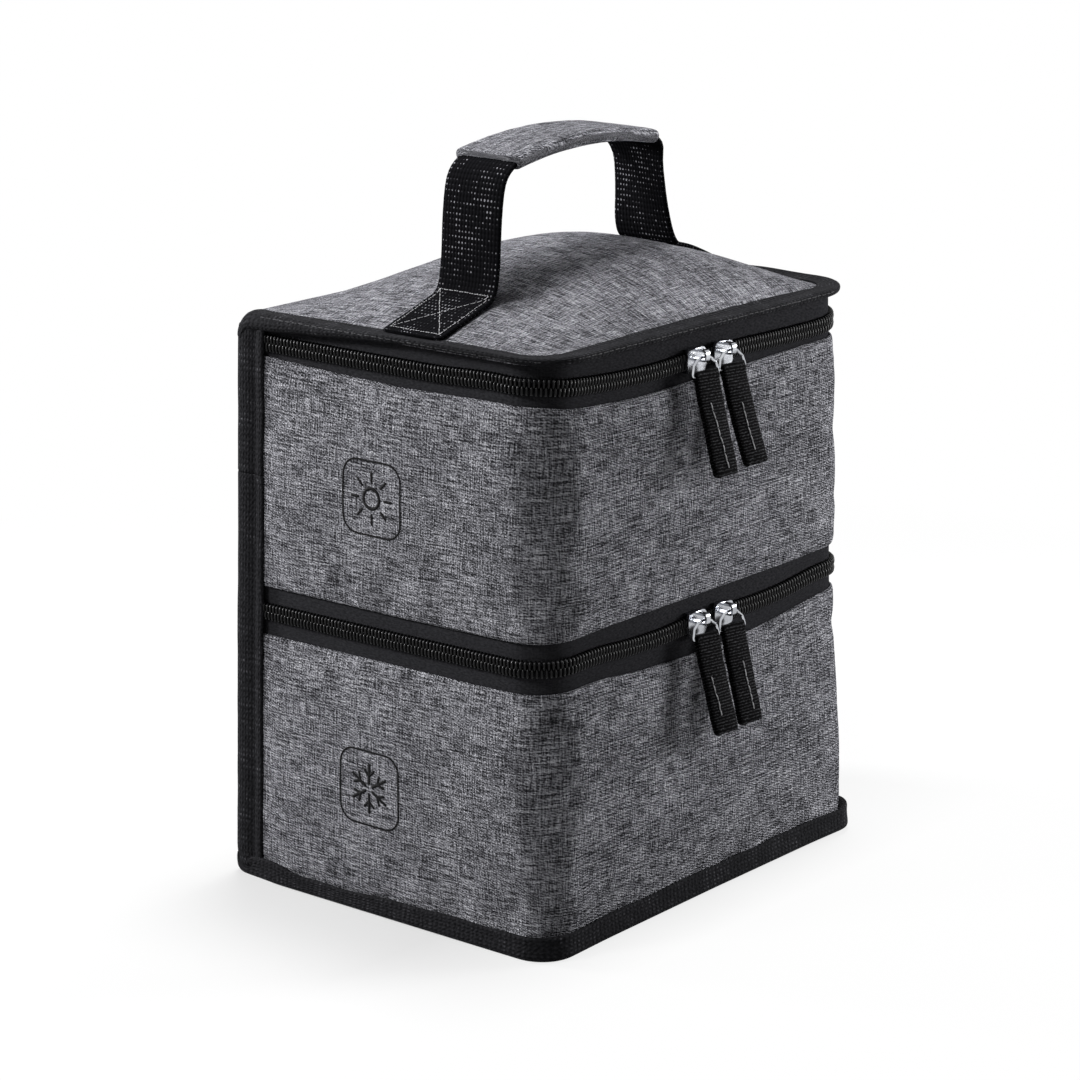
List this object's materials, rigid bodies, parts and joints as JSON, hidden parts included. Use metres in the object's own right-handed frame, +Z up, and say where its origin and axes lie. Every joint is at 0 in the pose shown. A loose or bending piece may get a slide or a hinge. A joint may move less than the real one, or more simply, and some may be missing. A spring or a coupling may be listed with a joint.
{
  "type": "insulated lunch bag",
  "caption": "Soft-sided insulated lunch bag with two stacked zipped compartments that fold open at the back, a domed lid and a webbing carry handle.",
  "frame": {"origin": "on the floor, under the middle of the bag's base", "axes": "+X along the front towards the bag's left-hand compartment end as worn on the right of a viewer who faces the front, -Y out of the front face with the zip pulls, +Z up"},
  "size_m": [0.2114, 0.1857, 0.3085],
  "materials": {
    "heather_polyester": "heather grey woven polyester",
    "black_binding": "ribbed black tape",
    "zip_tape": "flat woven black tape",
    "webbing": "coarse black webbing",
    "foam": "closed-cell foam sheet",
    "silver_lining": "silver-faced film",
    "stiffener": "plain plastic board",
    "zip_coil": "nylon coil with stitching",
    "chromed_zinc": "bright nickel chrome on zinc casting and steel wire"
  },
  "bodies": {
    "base": {"base_panel": "heather_polyester", "base_wrap": "heather_polyester", "base_binding": "black_binding", "base_board": "stiffener", "base_foam": "foam", "base_lining": "silver_lining", "lower_zip_bottom_tape": "zip_tape", "lower_zip_bottom_coil": "zip_coil"},
    "upper_box": {"lower_zip_top_tape": "zip_tape", "lower_zip_top_coil": "zip_coil", "upper_zip_bottom_tape": "zip_tape", "upper_zip_bottom_coil": "zip_coil", "upper_back_panel": "heather_polyester", "upper_wrap": "heather_polyester", "upper_binding_left": "black_binding", "upper_binding_right": "black_binding", "divider_lining": "silver_lining", "upper_foam": "foam", "upper_lining": "silver_lining"},
    "lid": {"upper_zip_top_tape": "zip_tape", "upper_zip_top_coil": "zip_coil", "lid_panel": "heather_polyester", "lid_binding": "black_binding", "lid_foam": "foam", "lid_lining": "silver_lining", "handle_foot_left": "webbing", "handle_foot_right": "webbing"},
    "handle": {"handle_webbing": "webbing", "handle_sleeve": "heather_polyester"},
    "lower_left_zip_slider": {"lower_left_slider": "chromed_zinc"},
    "lower_left_ring": {"lower_left_pull_ring": "chromed_zinc"},
    "lower_left_tab": {"lower_left_pull_tab": "black_binding"},
    "lower_right_zip_slider": {"lower_right_slider": "chromed_zinc"},
    "lower_right_ring": {"lower_right_pull_ring": "chromed_zinc"},
    "lower_right_tab": {"lower_right_pull_tab": "black_binding"},
    "upper_left_zip_slider": {"upper_left_slider": "chromed_zinc"},
    "upper_left_ring": {"upper_left_pull_ring": "chromed_zinc"},
    "upper_left_tab": {"upper_left_pull_tab": "black_binding"},
    "upper_right_zip_slider": {"upper_right_slider": "chromed_zinc"},
    "upper_right_ring": {"upper_right_pull_ring": "chromed_zinc"},
    "upper_right_tab": {"upper_right_pull_tab": "black_binding"}
  },
  "joints": [
    {"name": "upper_box_fold", "type": "hinge", "parent": "base", "child": "upper_box", "pos_m": [0, 0.08235, 0.117], "axis": [-1, 0, 0], "range_deg": [0, 110]},
    {"name": "lid_fold", "type": "hinge", "parent": "upper_box", "child": "lid", "pos_m": [0, 0.08051, 0.2275], "axis": [-1, 0, 0], "range_deg": [0, 110]},
    {"name": "handle_swing", "type": "hinge", "parent": "lid", "child": "handle", "pos_m": [0, -0.009, 0.2747], "axis": [1, 0, 0], "range_deg": [-60, 60]},
    {"name": "lower_left_slide", "type": "slide", "parent": "base", "child": "lower_left_zip_slider", "axis": [1, 0, 0], "range_m": [-0.062, 0.001]},
    {"name": "lower_right_slide", "type": "slide", "parent": "base", "child": "lower_right_zip_slider", "axis": [1, 0, 0], "range_m": [-0.001, 0.062]},
    {"name": "upper_left_slide", "type": "slide", "parent": "upper_box", "child": "upper_left_zip_slider", "axis": [1, 0, 0], "range_m": [-0.062, 0.001]},
    {"name": "upper_right_slide", "type": "slide", "parent": "upper_box", "child": "upper_right_zip_slider", "axis": [1, 0, 0], "range_m": [-0.001, 0.062]},
    {"name": "lower_left_ring_swing", "type": "hinge", "parent": "lower_left_zip_slider", "child": "lower_left_ring", "pos_m": [-0.0085, -0.0874, 0.11895], "axis": [-0.9781, 0.2079, 0], "range_deg": [-10, 100]},
    {"name": "lower_right_ring_swing", "type": "hinge", "parent": "lower_right_zip_slider", "child": "lower_right_ring", "pos_m": [0.009, -0.0874, 0.11895], "axis": [-0.9781, 0.2079, 0], "range_deg": [-10, 100]},
    {"name": "upper_left_ring_swing", "type": "hinge", "parent": "upper_left_zip_slider", "child": "upper_left_ring", "pos_m": [-0.0085, -0.08556, 0.22625], "axis": [-0.9781, 0.2079, 0], "range_deg": [-10, 100]},
    {"name": "upper_right_ring_swing", "type": "hinge", "parent": "upper_right_zip_slider", "child": "upper_right_ring", "pos_m": [0.009, -0.08556, 0.22625], "axis": [-0.9781, 0.2079, 0], "range_deg": [-10, 100]},
    {"name": "lower_left_tab_swing", "type": "hinge", "parent": "lower_left_ring", "child": "lower_left_tab", "pos_m": [-0.00876, -0.08862, 0.11186], "axis": [-0.9781, 0.2079, 0], "range_deg": [-5, 60]},
    {"name": "lower_right_tab_swing", "type": "hinge", "parent": "lower_right_ring", "child": "lower_right_tab", "pos_m": [0.00874, -0.08862, 0.11186], "axis": [-0.9781, 0.2079, 0], "range_deg": [-5, 60]},
    {"name": "upper_left_tab_swing", "type": "hinge", "parent": "upper_left_ring", "child": "upper_left_tab", "pos_m": [-0.00876, -0.08678, 0.21916], "axis": [-0.9781, 0.2079, 0], "range_deg": [-5, 60]},
    {"name": "upper_right_tab_swing", "type": "hinge", "parent": "upper_right_ring", "child": "upper_right_tab", "pos_m": [0.00874, -0.08678, 0.21916], "axis": [-0.9781, 0.2079, 0], "range_deg": [-5, 60]}
  ]
}
